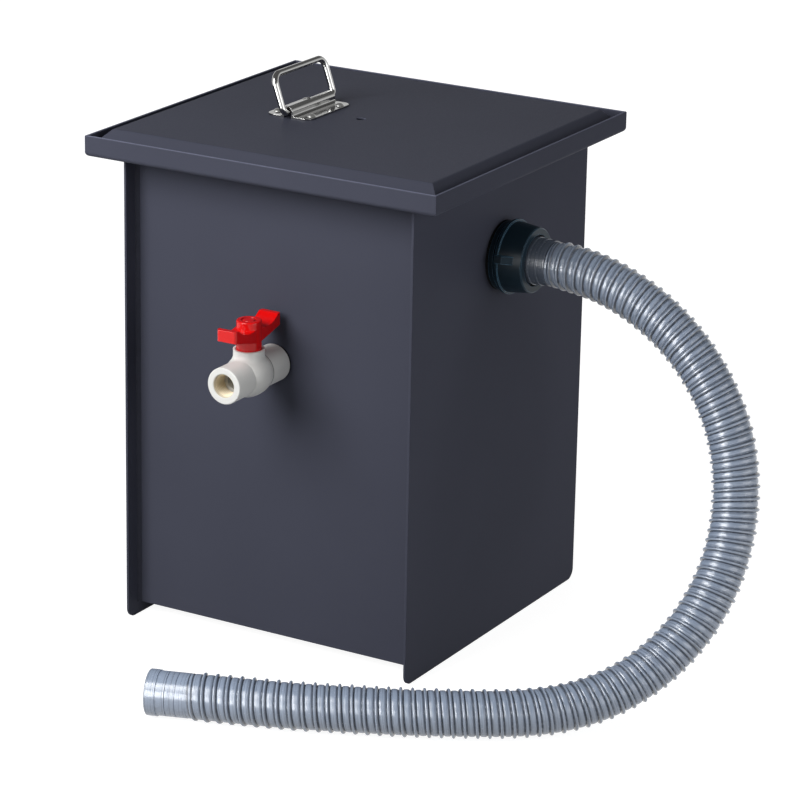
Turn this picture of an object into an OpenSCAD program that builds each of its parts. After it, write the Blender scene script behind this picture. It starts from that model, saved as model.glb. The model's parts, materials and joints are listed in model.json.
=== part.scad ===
// Grease trap: a welded sheet-metal tank with a lift-off lid, a ball valve and a ribbed drain hose.
// Millimetres, Z up. The valve faces -Y, the hose leaves on +X and the inlet is on -X.

/* [Tank] */
// Width over the two side plates
tank_w = 276; // [256:1:320]
// Depth of a side plate
plate_d = 294; // [270:1:340]
// Height from the ground to the underside of the rim tray
tank_h = 407; // [360:1:460]
// Thickness of the tank's sheet metal
sheet = 2; // [1.5:0.1:2.5]
// Set-back of the front and rear panels behind the side plates' edges
panel_recess = 16; // [10:1:22]
// Height of the tank floor's underside above the ground
foot_h = 11; // [6:1:20]
// Rounding of the side plates' lower corners
foot_r = 9; // [3:1:20]
// Leg of the weld beads along the panels' edges
weld_leg = 3; // [1.5:0.5:5]

/* [Rim tray] */
// Overhang of the rim past the side plates
rim_over_x = 28; // [20:1:31]
// Overhang of the rim past the side plates' front and rear edges
rim_over_y = 15.5; // [10:0.5:30]
// Height of the rim above the tray's underside
rim_h = 18; // [14:1:30]
// Outer bend radius at the rim's foot
rim_bend = 4; // [3:0.5:5]
// Width of the ledge that the tray leaves inside the tank walls
ledge = 8; // [4:1:16]

/* [Lid] */
// Gap between the lid and the rim's sides
lid_gap_x = 3; // [2:0.5:10]
// Gap between the lid and the rim's front and rear
lid_gap_y = 8; // [2:0.5:20]
// Height of the lid
lid_h = 16.5; // [14:0.5:30]
// Width of the lid's 45-degree border
lid_border = 10; // [4:0.5:12]
// Thickness of the lid's sheet metal
lid_sheet = 1.5; // [1:0.1:2]
// Outer bend radius of the lid's folds
lid_bend = 3; // [2.5:0.5:4]
// Diameter of the vent hole in the lid
vent_d = 8; // [4:0.5:12]
// Thickness of the lid gasket
gasket_t = 3; // [2:0.5:6]
// Width of the lid gasket
gasket_w = 10; // [6:1:16]

/* [Lid handle] */
// Place of the handle, to the right of the lid's middle
handle_x = -52; // [-90:1:-32]
// Place of the handle, behind the lid's middle
handle_y = 2; // [-60:1:60]
// Length of the saddle along the wire
saddle_l = 68; // [56:1:100]
// Width of the saddle over its flanges
saddle_w = 43; // [41:1:60]
// Thickness of the saddle's sheet
saddle_t = 1.5; // [1:0.1:2]
// Rounding of the saddle's flange corners
saddle_r = 7; // [2:0.5:10]
// Rounding where the saddle's arch meets its flanges
saddle_fillet = 2; // [0.5:0.5:3]
// Diameter of the bail wire
wire_d = 5.6; // [4:0.1:6]
// Room round the wire in the saddle
wire_gap = 0.7; // [0.4:0.1:1.2]
// Height of the bail from its axis to the middle of the grip
bail_h = 33; // [28:1:60]
// Gap between the saddle's ends and the bail's legs
bail_gap = 3; // [1:0.5:8]
// Bend radius of the bail's upper corners
bail_r = 9; // [5:0.5:14]
// Bend radius of the bail's lower corners
bail_foot_r = 5; // [3:0.5:8]
// Lean of the bail from upright, to the left
bail_lean = 19; // [0:1:60]
// Distance of the rivets from the handle's middle, across the wire
rivet_x = 16.5; // [11.5:0.5:17.5]
// Distance of the rivets from the handle's middle, along the wire
rivet_y = 22.5; // [12:0.5:28]
// Shank diameter of the rivets
rivet_d = 4; // [3:0.1:4.6]
// Height of the rivets' round heads
rivet_h = 2.2; // [1:0.1:3]

/* [Inner plates] */
// Place of the inlet baffle, to the right of the tank's middle
baffle_x = -30; // [-46:1:-20]
// Gap under the inlet baffle
baffle_gap = 50; // [30:1:100]
// Gap between the inlet baffle and the rim tray
baffle_top = 12; // [6:1:40]
// Place of the outlet weir, to the right of the tank's middle
weir_x = 60; // [30:1:90]
// Distance of the outlet weir's top below the hose outlet's axis
weir_drop = 53.5; // [45:0.5:120]

/* [Strainer basket] */
// Distance of the basket rails' top below the rim tray
rail_drop = 105; // [100:1:130]
// Width of the basket rails
rail_w = 14; // [12:1:24]
// Height of the basket rails' upright leg
rail_h = 14; // [8:1:20]
// Depth of the basket below its flanges
basket_h = 120; // [80:1:160]
// Thickness of the basket's sheet
basket_t = 1; // [0.8:0.1:1.5]
// Gap between the basket and the plates beside it
basket_gap = 9; // [4:0.5:15]
// Gap between the basket and its rails
rail_gap = 2; // [1:0.5:4]
// Width of the basket's flanges
flange_w = 12; // [8:0.5:13]
// Diameter of the holes in the basket floor
sieve_d = 10; // [4:0.5:13]
// Distance between the holes in the basket floor
sieve_pitch = 17; // [15:0.5:24]
// Diameter of the basket handle's wire
basket_wire_d = 5; // [3:0.5:7]
// Height of the basket handle above the flanges
basket_handle_h = 42; // [20:1:60]
// Bend radius of the basket handle
basket_handle_r = 12; // [6:1:18]

/* [Drain valve] */
// Height of the valve's axis above the ground
valve_z = 251.5; // [80:0.5:320]
// Length of the valve
valve_len = 75; // [72:1:90]
// Outer diameter of the valve's sockets
socket_d = 30.6; // [28:0.2:33]
// Diameter of the valve's threaded bores
thread_d = 19.6; // [18:0.1:21]
// Depth of the valve's threaded bores
thread_l = 16; // [12:0.5:18]
// Chamfer at the valve's mouth
mouth_chamfer = 0.5; // [0.3:0.1:2]
// Largest diameter of the valve's barrel round the ball
chamber_d = 36.8; // [34.6:0.2:44]
// Diameter of the barrel at its ends
chamber_end_d = 31.2; // [31:0.2:33.4]
// Length of the valve's barrel
chamber_l = 26; // [24:0.5:30]
// Outer diameter of the end piece behind the barrel
end_piece_d = 31.6; // [28:0.2:33]
// Diameter of the waterway
way_d = 14; // [10:0.5:15]
// Diameter of the ball
ball_d = 23; // [21:0.5:24]
// Outer diameter of the neck
neck_d = 26; // [25:0.5:30]
// Height of the neck's rim above the valve's axis
neck_h = 22; // [21:0.5:26]
// Depth of the recess in the neck's rim
neck_recess = 5; // [3:0.5:6]
// Diameter of the stem
stem_d = 10; // [8:0.5:11]
// Diameter of the handle's boss
boss_d = 20.8; // [18:0.2:21]
// Height of the handle's top above the valve's axis
handle_top = 46.5; // [44:0.5:56]
// Length of a wing from the stem's axis
wing_l = 34; // [28:0.5:35]
// Width of a wing at its tip
wing_w = 18.4; // [12:0.2:20]
// Width of a wing at the boss
wing_root_w = 19.5; // [8:0.5:20]
// Corner rounding of a wing's tip
wing_r = 2.5; // [1:0.5:4]
// Height of a wing's end face
wing_tip_h = 9.5; // [6:0.5:14]
// Depth of the hollow in a wing's top, below the boss
scoop_depth = 7.5; // [3:0.5:9]
// Radius of that hollow
scoop_r = 26; // [22:1:60]

/* [Panel fittings] */
// Thickness of the rubber washers
washer_t = 2.5; // [1.5:0.5:4]
// Outer diameter of the washers on the valve nipple
nipple_washer_d = 30; // [26:0.5:34]
// Width across the corners of the locknut on the valve nipple
nipple_nut_d = 31; // [27:0.5:36]
// Thickness of the locknut on the valve nipple
nipple_nut_t = 6; // [4:0.5:10]
// Wall of the valve nipple
nipple_wall = 3.2; // [2:0.1:4]
// Thread diameter of the inlet and outlet spigots
spigot_d = 45; // [42:0.5:48]
// Wall of the outlet spigot
spigot_wall = 4; // [2.5:0.5:5]
// Diameter of the spigots' flanges
spigot_flange_d = 58; // [54:1:62]
// Thickness of the spigots' flanges
spigot_flange_t = 4; // [3:0.5:6]
// Width across the corners of the spigots' locknuts
spigot_nut_d = 66; // [58:1:72]
// Thickness of the spigots' locknuts
spigot_nut_t = 8; // [5:0.5:12]
// Length of a thread's end that stands out of its locknut
thread_end = 4; // [1:0.5:8]

/* [Hose outlet] */
// Distance of the hose outlet's axis below the rim tray
port_drop = 73.5; // [62:0.5:90]
// Length of the outlet spigot's outer thread
port_thread_l = 15.5; // [13:0.5:17]
// Diameter of the coupling nut's rear rim
nut_d = 62.6; // [58:0.2:68]
// Diameter of the coupling nut's front
nut_front_d = 54.5; // [49:0.5:57]
// Length of the coupling nut
nut_l = 23; // [22:0.5:30]
// Gap between the spigot's flange and the coupling nut
nut_gap = 2.5; // [1:0.5:4]
// Thickness of the grip lugs on the coupling nut
lug_t = 6.5; // [3:0.5:8]
// Height of the grip lugs above the nut's rear rim
lug_rise = 3; // [1:0.5:5]
// Turn of the grip lugs from level
lug_turn = 10; // [0:1:90]
// Room round the cuff in the coupling nut's front
nut_room = 1.6; // [0.5:0.1:2]
// Thickness of the flat seal in the coupling
seal_t = 2; // [1:0.5:3]
// Outer diameter of the hose cuff
cuff_d = 40; // [38:0.5:41]
// Length of the hose cuff outside its flange
cuff_l = 21; // [18:1:30]
// Thickness of the hose cuff's flange
cuff_flange_t = 3; // [2:0.5:3]

/* [Inlet] */
// Distance of the inlet's axis below the rim tray
inlet_drop = 55; // [46:0.5:62]
// Outer diameter of the inlet spigot
inlet_d = 40; // [36:0.5:44]
// Wall of the inlet spigot
inlet_wall = 3; // [2:0.5:4]

/* [Drain hose] */
// Outer diameter of the hose over its ribs
hose_d = 40; // [36:0.5:40]
// Bore of the hose's cuffs
hose_bore_d = 33; // [28:0.5:34]
// Length of the plain cuff at the hose's free end
end_cuff_l = 34; // [24:1:60]
// Outer diameter of that cuff
end_cuff_d = 36.4; // [35:0.2:38]
// Outer diameter of the collar at the cuff's mouth
end_collar_d = 37.8; // [36:0.2:40]
// Length of that collar
end_collar_l = 9; // [4:0.5:14]
// Number of sides of the hose's tube
hose_sides = 12; // [8:1:12]

/* [Fits] */
// Radial room of the stem in the neck
stem_gap = 0.05; // [0.02:0.01:0.1]
// Room round the handle's skirt in the neck's recess
skirt_gap = 0.6; // [0.4:0.1:1]
// Room between the ball and its seats
ball_gap = 0.3; // [0.2:0.05:0.5]
// Radial room of the fixed fits, such as a thread in its nut
fit_gap = 0.05; // [0.02:0.01:0.2]
// Radial room of the holes in the sheet metal
hole_gap = 0.3; // [0.1:0.1:1]

/* [Hidden] */
$fn = 64;
paint = "#4a4d59";
stainless = "#b9bbbd";
white_plastic = "#e9e8e4";
red_plastic = "#dc1a18";
black_plastic = "#14181f";
grey_plastic = "#8d97a6";
black_rubber = "#1b1b1c";
seat_white = "#f4f2ea";

// Tank walls: outer and inner faces, measured from the tank's middle
half_w = tank_w / 2;
half_d = plate_d / 2;
inner_x = half_w - sheet;
panel_y = half_d - panel_recess;
inner_y = panel_y - sheet;
floor_top = foot_h + sheet;
port_z = tank_h - port_drop;
inlet_z = tank_h - inlet_drop;
rail_z = tank_h - rail_drop;
weir_h = port_z - weir_drop - floor_top;

// Rim tray and lid: half sizes and heights
rim_x = half_w + rim_over_x;
rim_y = half_d + rim_over_y;
lid_x = rim_x - sheet - lid_gap_x - lid_border;
lid_y = rim_y - sheet - lid_gap_y - lid_border;
gasket_z = tank_h + sheet;
lid_z = gasket_z + gasket_t;
lid_top = lid_z + lid_h;
bend_share = tan(22.5);
bend_steps = 4;
lid_inward = 2 * lid_bend;

// Lid handle
arch_in = wire_d / 2 + wire_gap;
arch_r = arch_in + saddle_t;
arch_z = arch_r;
bail_half = saddle_l / 2 + bail_gap + wire_d / 2;
rivet_head_r = rivet_d;
rivet_tail_r = 0.75 * rivet_d;
rivet_tail_h = 0.3 * rivet_d;
pip_r = 2;
pip_rise = 1;

// Strainer basket: the chamber between the left plate and the inlet baffle
basket_mid_x = (baffle_x - inner_x) / 2;
basket_x = (baffle_x + inner_x) / 2 - basket_gap;
basket_y = inner_y - rail_w - rail_gap;
basket_bottom = rail_z - basket_h;
sieve_nx = floor((2 * basket_x - sieve_d) / sieve_pitch);
sieve_ny = floor((2 * basket_y - sieve_d) / sieve_pitch);
basket_leg = 25;

// Drain valve: distances along its axis from the rear face, and heights above it
valve_mid = valve_len / 2;
socket_l = (valve_len - chamber_l) / 2;
seat_reach = ball_d / 2 - 0.5;
cavity_r = ball_d / 2 + 1.1;
seat_in_r = way_d / 2 + 0.2;
seat_l = 4;
valve_y = panel_y + washer_t;
skirt_z = neck_h - neck_recess + skirt_gap;
stem_top = handle_top - 6;
stem_foot = cavity_r - 0.4;
tang_t = 4;
tang_z = ball_d / 2 - 3.5;
o_ring_z = (cavity_r + neck_h - neck_recess) / 2;
o_ring_wire = 1.5;
o_ring_room = 0.1;
boss_edge = 1.2;
boss_ring_r = 5;
boss_ring_w = 1.4;
boss_ring_depth = 0.8;
wing_low = neck_h + 6;
wing_top = handle_top - 1;
wing_tip_low = wing_top - wing_tip_h;
scoop_y = boss_d / 2 + 2;
scoop_z = handle_top - scoop_depth + scoop_r;
socket_edge = 0.8;

// Outlet and inlet: distances out from the side plate
flange_out = washer_t + spigot_flange_t;
spigot_end = flange_out + port_thread_l;
thread_in = sheet + washer_t + spigot_nut_t + thread_end;
nut_rear = flange_out + nut_gap;
nut_front = nut_rear + nut_l;
nut_rim_l = 2.5;
nut_rim_step = 1.6;
nut_edge = 0.8;
lug_root = 6;
lug_level = nut_rear + 0.35 * nut_l;
lug_end = nut_rear + 0.75 * nut_l;
cuff_flange = spigot_end + seal_t;
cuff_start = cuff_flange + cuff_flange_t;
nut_lip = cuff_start + 0.2;
cuff_end = cuff_start + cuff_l;
cuff_step = 0.5;
cuff_steps = 3;

// Route of the hose's middle from the cuff to the plain cuff at its free end
route = [
    [half_w + cuff_end, 0, port_z], [228, 0, 328.5], [267, 0, 314], [301.5, 0, 291], [329.5, -1, 260.5],
    [351, -4, 223.5], [363, -11, 184], [368.5, -25, 145], [367.5, -45.5, 109], [358.5, -71, 76.5],
    [342.5, -99.5, 50.5], [320, -129.5, 32], [291.5, -160.5, 22], [260, -188, 20], [225.5, -210, 20],
    [189, -231, 20], [150.5, -248.5, 20], [112.5, -266, 20], [73.5, -280.5, 20], [26, -296.5, 20]
];
route_last = len(route) - 1;
hose_way = unit(route[route_last] - route[route_last - 1]);
end_collar_edge = 1.2;
end_groove = 0.6;
end_grooves = 2;

// The tank's middle stands back from the frame's origin, because the valve reaches forward
tank_back = (valve_y + valve_len - rim_y) / 2;

function unit(v) = v / norm(v);

function way(i) =
    i == 0 ? [1, 0, 0]
    : i == route_last ? hose_way
    : unit(unit(route[i] - route[i - 1]) + unit(route[i + 1] - route[i]));

function ring(i) =
    let (t = way(i), n = unit([0, 1, 0] - t * t[1]), b = cross(t, n))
    [for (k = [0 : hose_sides - 1])
        let (a = 360 * k / hose_sides) route[i] + hose_d / 2 * (cos(a) * n + sin(a) * b)];

module in_frame() {
    translate([0, tank_back, 0]) children();
}

module at_lid_handle() {
    in_frame() translate([handle_x, handle_y, lid_top]) children();
}

// Z runs along the valve's axis from its rear face to its mouth, Y runs up
module at_valve() {
    in_frame() translate([0, -valve_y, valve_z]) rotate([90, 0, 0]) children();
}

// Z runs up the stem from the middle of the ball
module at_stem() {
    in_frame() translate([0, -valve_y - valve_mid, valve_z]) children();
}

// Z runs out of the right side plate
module at_port() {
    in_frame() translate([half_w, 0, port_z]) rotate([0, 90, 0]) children();
}

// Z runs out of the left side plate
module at_inlet() {
    in_frame() translate([-half_w, 0, inlet_z]) rotate([0, -90, 0]) children();
}

// Z runs along the hose out of its free end
module at_hose_end() {
    in_frame() translate(route[route_last]) rotate([0, 90, atan2(hose_way[1], hose_way[0])]) children();
}

module ring_of(r, bore_r, h) {
    difference() {
        cylinder(r = r, h = h);
        translate([0, 0, -1]) cylinder(r = bore_r, h = h + 2);
    }
}

module hex_nut(r, bore_r, h) {
    difference() {
        cylinder(r = r, h = h, $fn = 6);
        translate([0, 0, -1]) cylinder(r = bore_r, h = h + 2);
    }
}

// Half section of a round bar on the Y axis whose upper edge is rounded
module rounded_section(r, tall, edge) {
    square([r, tall - edge]);
    square([r - edge, tall]);
    translate([r - edge, tall - edge]) circle(edge);
}

// A folded border round a rectangle with mitred corners: the profile's x runs outward, its y runs up
module border(half_x, half_y, inward, outward, tall) {
    for (side = [0 : 3]) {
        along = side % 2 == 0 ? half_x : half_y;
        off = side % 2 == 0 ? half_y : half_x;
        rotate(90 * side) intersection() {
            translate([along + outward, -off, 0]) rotate([90, 0, -90])
                linear_extrude(2 * (along + outward)) children();
            translate([0, 0, -1]) linear_extrude(tall + 2) polygon([
                [-along - outward, -off - outward], [along + outward, -off - outward],
                [along - inward, -off + inward], [-along + inward, -off + inward]
            ]);
        }
    }
}

module side_outline() {
    translate([-half_d, foot_r]) square([plate_d, tank_h - foot_r]);
    translate([-half_d + foot_r, 0]) square([plate_d - 2 * foot_r, foot_r]);
    for (end = [-1, 1])
        translate([end * (half_d - foot_r), foot_r]) circle(foot_r);
}

module side_plate(hole_z) {
    rotate([90, 0, 90]) linear_extrude(sheet) difference() {
        side_outline();
        translate([0, hole_z]) circle(spigot_d / 2 + hole_gap);
    }
}

module left_side_plate() color(paint) in_frame() translate([-half_w, 0, 0]) side_plate(inlet_z);

module right_side_plate() color(paint) in_frame() translate([inner_x, 0, 0]) side_plate(port_z);

module panel() {
    translate([-inner_x, inner_y, foot_h]) cube([2 * inner_x, sheet, tank_h - foot_h]);
}

module front_panel() color(paint) difference() {
    in_frame() mirror([0, 1, 0]) panel();
    at_valve() translate([0, 0, -washer_t - sheet - 1])
        cylinder(r = thread_d / 2 + hole_gap, h = sheet + 2);
}

module rear_panel() color(paint) in_frame() panel();

module floor_plate() color(paint) in_frame() translate([-inner_x, -inner_y, foot_h])
    cube([2 * inner_x, 2 * inner_y, sheet]);

module weld_beads() color(paint) in_frame() translate([0, 0, foot_h])
    for (side = [0, 1], end = [0, 1])
        mirror([side, 0, 0]) mirror([0, end, 0]) linear_extrude(tank_h - foot_h) polygon([
            [inner_x, panel_y], [inner_x, panel_y + weld_leg], [inner_x - weld_leg, panel_y]
        ]);

// Bend and upright lip of the rim tray, with a rounded edge
module rim_profile() {
    intersection() {
        translate([-rim_bend, rim_bend]) difference() {
            circle(rim_bend);
            circle(rim_bend - sheet);
        }
        translate([-rim_bend, 0]) square(rim_bend);
    }
    translate([-sheet, rim_bend]) square([sheet, rim_h - rim_bend - sheet / 2]);
    translate([-sheet / 2, rim_h - sheet / 2]) circle(sheet / 2);
}

module rim_tray() color(paint) in_frame() translate([0, 0, tank_h]) {
    linear_extrude(sheet) difference() {
        square([2 * (rim_x - rim_bend), 2 * (rim_y - rim_bend)], center = true);
        square([2 * (inner_x - ledge), 2 * (inner_y - ledge)], center = true);
    }
    border(rim_x, rim_y, rim_bend + 1, 1, rim_h) rim_profile();
}

module lid_gasket() color(black_rubber) in_frame() translate([0, 0, gasket_z])
    linear_extrude(gasket_t) difference() {
        square([2 * (lid_x + lid_border), 2 * (lid_y + lid_border)], center = true);
        square([2 * (lid_x + lid_border - gasket_w), 2 * (lid_y + lid_border - gasket_w)], center = true);
    }

// Points of an arc about a centre, between two angles
function arc(centre, r, from, to) =
    [for (i = [0 : bend_steps])
        let (a = from + (to - from) * i / bend_steps) centre + r * [cos(a), sin(a)]];

// Sloping border and skirt of the lid, of even thickness, folded round the bend radius
module lid_profile() {
    upper = [-lid_bend * bend_share, lid_h - lid_bend];
    lower = [lid_border - lid_bend, lid_h - lid_border - lid_bend * bend_share];
    inner_bend = lid_bend - lid_sheet;
    polygon(concat(
        [[-lid_inward, lid_h]], arc(upper, lid_bend, 90, 45), arc(lower, lid_bend, 45, 0),
        [[lid_border, 0], [lid_border - lid_sheet, 0]],
        arc(lower, inner_bend, 0, 45), arc(upper, inner_bend, 45, 90), [[-lid_inward, lid_h - lid_sheet]]
    ));
}

module at_rivets() {
    for (x = [-rivet_x, rivet_x], y = [-rivet_y, rivet_y])
        at_lid_handle() translate([x, y, 0]) children();
}

module lid() color(paint) difference() {
    in_frame() translate([0, 0, lid_z]) {
        translate([lid_bend - lid_x, lid_bend - lid_y, lid_h - lid_sheet])
            cube([2 * (lid_x - lid_bend), 2 * (lid_y - lid_bend), lid_sheet]);
        border(lid_x, lid_y, lid_inward + 1, lid_border + 1, lid_h) lid_profile();
    }
    in_frame() translate([0, 0, lid_z]) cylinder(d = vent_d, h = lid_h + 1);
    at_rivets() translate([0, 0, -lid_sheet - 1]) cylinder(r = rivet_d / 2 + fit_gap, h = lid_sheet + 2);
}

// Section of the saddle: an arch on two flat flanges
module saddle_section() {
    translate([0, arch_z]) circle(arch_r);
    translate([-arch_r, 0]) square([2 * arch_r, arch_z]);
    translate([-saddle_w / 2, 0]) square([saddle_w, saddle_t]);
    for (side = [0, 1]) mirror([side, 0]) difference() {
        translate([arch_r, saddle_t]) square(saddle_fillet);
        translate([arch_r + saddle_fillet, saddle_t + saddle_fillet]) circle(saddle_fillet);
    }
}

module saddle_outline() {
    square([saddle_w - 2 * saddle_r, saddle_l], center = true);
    square([saddle_w, saddle_l - 2 * saddle_r], center = true);
    for (x = [-1, 1], y = [-1, 1])
        translate([x * (saddle_w / 2 - saddle_r), y * (saddle_l / 2 - saddle_r)]) circle(saddle_r);
}

module handle_saddle() color(stainless) difference() {
    at_lid_handle() intersection() {
        union() {
            translate([0, saddle_l / 2, 0]) rotate([90, 0, 0]) linear_extrude(saddle_l) saddle_section();
            translate([0, 0, arch_z + arch_r + pip_rise - pip_r]) sphere(pip_r);
        }
        linear_extrude(arch_z + arch_r + pip_r) saddle_outline();
    }
    at_lid_handle() translate([0, saddle_l / 2 + 1, 0]) rotate([90, 0, 0]) linear_extrude(saddle_l + 2) {
        translate([0, arch_z]) circle(arch_in);
        translate([-arch_in, -1]) square([2 * arch_in, arch_z + 1]);
    }
    at_rivets() translate([0, 0, -1]) cylinder(r = rivet_d / 2 + fit_gap, h = saddle_t + 2);
}

module rivet() {
    dome_r = (rivet_head_r ^ 2 + rivet_h ^ 2) / (2 * rivet_h);
    translate([0, 0, saddle_t]) rotate_extrude() intersection() {
        translate([0, rivet_h - dome_r]) circle(dome_r);
        square([rivet_head_r, rivet_h]);
    }
    translate([0, 0, -lid_sheet]) cylinder(d = rivet_d, h = lid_sheet + saddle_t);
    translate([0, 0, -lid_sheet - rivet_tail_h]) cylinder(r = rivet_tail_r, h = rivet_tail_h);
}

module handle_rivets() color(stainless) at_rivets() rivet();

// A quarter bend of wire in the YZ plane, from +Y round to +Z
module wire_bend(r, d) {
    rotate([90, 0, 90]) rotate_extrude(angle = 90) translate([r, 0]) circle(d = d);
}

// One half of a closed wire loop that stands on Y = 0, from its foot's middle to its top's middle
module half_loop(half, tall, foot_r, top_r, d) {
    rotate([-90, 0, 0]) cylinder(d = d, h = half - foot_r);
    translate([0, half - foot_r, foot_r]) rotate([-90, 0, 0]) wire_bend(foot_r, d);
    translate([0, half, foot_r]) cylinder(d = d, h = tall - foot_r - top_r);
    translate([0, half - top_r, tall - top_r]) wire_bend(top_r, d);
    translate([0, 0, tall]) rotate([-90, 0, 0]) cylinder(d = d, h = half - top_r);
}

module handle_bail() color(stainless) at_lid_handle() translate([0, 0, arch_z]) rotate([0, -bail_lean, 0])
    for (end = [0, 1])
        mirror([0, end, 0]) half_loop(bail_half, bail_h, bail_foot_r, bail_r, wire_d);

module inlet_baffle() color(paint) in_frame() translate([baffle_x, -inner_y, floor_top + baffle_gap])
    cube([sheet, 2 * inner_y, tank_h - baffle_top - floor_top - baffle_gap]);

module outlet_weir() color(paint) in_frame() translate([weir_x, -inner_y, floor_top])
    cube([sheet, 2 * inner_y, weir_h]);

module basket_rails() color(paint) in_frame()
    for (end = [0, 1]) mirror([0, end, 0]) translate([-inner_x, 0, rail_z]) {
        translate([0, inner_y - rail_w, -sheet]) cube([inner_x + baffle_x, rail_w, sheet]);
        translate([0, inner_y - sheet, -rail_h]) cube([inner_x + baffle_x, sheet, rail_h]);
    }

module at_basket() {
    in_frame() translate([basket_mid_x, 0, 0]) children();
}

module strainer_basket() color(stainless) at_basket() {
    translate([0, 0, basket_bottom]) linear_extrude(basket_h + basket_t) difference() {
        square([2 * basket_x, 2 * basket_y], center = true);
        square([2 * (basket_x - basket_t), 2 * (basket_y - basket_t)], center = true);
    }
    for (end = [0, 1]) mirror([0, end, 0]) translate([-basket_x, basket_y - basket_t, rail_z])
        cube([2 * basket_x, basket_t + flange_w, basket_t]);
}

module basket_floor() color(stainless) at_basket() translate([0, 0, basket_bottom])
    linear_extrude(basket_t) difference() {
        square([2 * (basket_x - basket_t), 2 * (basket_y - basket_t)], center = true);
        for (i = [0 : sieve_nx - 1], j = [0 : sieve_ny - 1])
            translate([i - (sieve_nx - 1) / 2, j - (sieve_ny - 1) / 2] * sieve_pitch)
                circle(d = sieve_d, $fn = 24);
    }

module basket_handle() color(stainless) at_basket() {
    half = basket_y - basket_t - basket_wire_d / 2;
    top = rail_z + basket_handle_h;
    for (end = [0, 1]) mirror([0, end, 0]) {
        translate([0, half, rail_z - basket_leg])
            cylinder(d = basket_wire_d, h = basket_leg + basket_handle_h - basket_handle_r);
        translate([0, half - basket_handle_r, top - basket_handle_r])
            wire_bend(basket_handle_r, basket_wire_d);
        translate([0, 0, top]) rotate([-90, 0, 0]) cylinder(d = basket_wire_d, h = half - basket_handle_r);
    }
}

// Outer section of the valve body: a barrel round the ball, then the front socket with a rounded edge
module body_section() {
    drop = (chamber_d - chamber_end_d) / 2;
    barrel_r = ((chamber_l / 2) ^ 2 + drop ^ 2) / (2 * drop);
    translate([0, socket_l]) intersection() {
        translate([chamber_d / 2 - barrel_r, chamber_l / 2]) circle(barrel_r);
        square([chamber_d / 2, chamber_l]);
    }
    translate([0, socket_l]) rounded_section(socket_d / 2, valve_len - socket_l, socket_edge);
}

module valve_body() color(white_plastic) at_valve() difference() {
    union() {
        rotate_extrude() body_section();
        translate([0, 0, valve_mid]) rotate([-90, 0, 0]) cylinder(d = neck_d, h = neck_h);
    }
    translate([0, 0, valve_len - thread_l]) cylinder(d = thread_d, h = thread_l + 1);
    translate([0, 0, valve_len - mouth_chamfer])
        cylinder(r1 = thread_d / 2, r2 = thread_d / 2 + 2 * mouth_chamfer, h = 2 * mouth_chamfer);
    translate([0, 0, socket_l]) cylinder(d = way_d, h = valve_len - socket_l);
    translate([0, 0, socket_l - 1]) cylinder(r = cavity_r, h = valve_mid + seat_reach - socket_l + 1);
    translate([0, 0, valve_mid]) rotate([-90, 0, 0]) {
        cylinder(r = stem_d / 2 + stem_gap, h = neck_h + 1);
        translate([0, 0, neck_h - neck_recess]) cylinder(r = boss_d / 2 + skirt_gap, h = neck_recess + 1);
    }
}

module valve_end() color(white_plastic) at_valve() difference() {
    union() {
        cylinder(d = end_piece_d, h = socket_l);
        cylinder(r = cavity_r - fit_gap, h = valve_mid - seat_reach);
    }
    translate([0, 0, -1]) cylinder(d = thread_d, h = thread_l + 1);
    translate([0, 0, -1]) cylinder(d = way_d, h = valve_len);
}

module valve_seats() color(seat_white) at_valve() translate([0, 0, valve_mid])
    for (end = [0, 1]) mirror([0, 0, end]) difference() {
        translate([0, 0, seat_reach - seat_l]) ring_of(cavity_r - fit_gap, seat_in_r, seat_l);
        sphere(ball_d / 2 + ball_gap);
    }

module valve_ball() color(white_plastic) at_stem() difference() {
    sphere(d = ball_d);
    rotate([90, 0, 0]) cylinder(d = way_d, h = ball_d + 2, center = true);
    translate([-tang_t / 2 - fit_gap, -ball_d / 2, tang_z - fit_gap])
        cube([tang_t + 2 * fit_gap, ball_d, ball_d]);
}

module valve_stem() color(white_plastic) at_stem() {
    difference() {
        translate([0, 0, stem_foot]) cylinder(d = stem_d, h = stem_top - stem_foot);
        translate([0, 0, o_ring_z - o_ring_wire / 2 - o_ring_room])
            ring_of(stem_d, stem_d / 2 - o_ring_wire - 2 * o_ring_room, o_ring_wire + 2 * o_ring_room);
    }
    intersection() {
        translate([-tang_t / 2, -stem_d / 2, tang_z]) cube([tang_t, stem_d, stem_foot + 1 - tang_z]);
        cylinder(d = stem_d, h = stem_top);
    }
}

module stem_o_ring() color(black_rubber) at_stem() translate([0, 0, o_ring_z]) rotate_extrude()
    translate([stem_d / 2 - o_ring_wire / 2 - o_ring_room, 0]) circle(d = o_ring_wire);

// Plan of one wing along +Y: it widens towards a tip with rounded corners
module wing_plan() {
    tip = wing_w / 2;
    round_y = wing_l - wing_r;
    polygon([
        [-wing_root_w / 2, 0], [wing_root_w / 2, 0], [tip, round_y], [tip - wing_r, wing_l],
        [wing_r - tip, wing_l], [-tip, round_y]
    ]);
    for (side = [-1, 1]) translate([side * (tip - wing_r), round_y]) circle(wing_r);
}

// Side view of one wing: the underside climbs to the tip and the top is hollowed
module wing_side() {
    difference() {
        polygon([[0, wing_low], [wing_l + 1, wing_tip_low], [wing_l + 1, wing_top], [0, wing_top]]);
        translate([scoop_y, scoop_z]) circle(scoop_r);
    }
}

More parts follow.
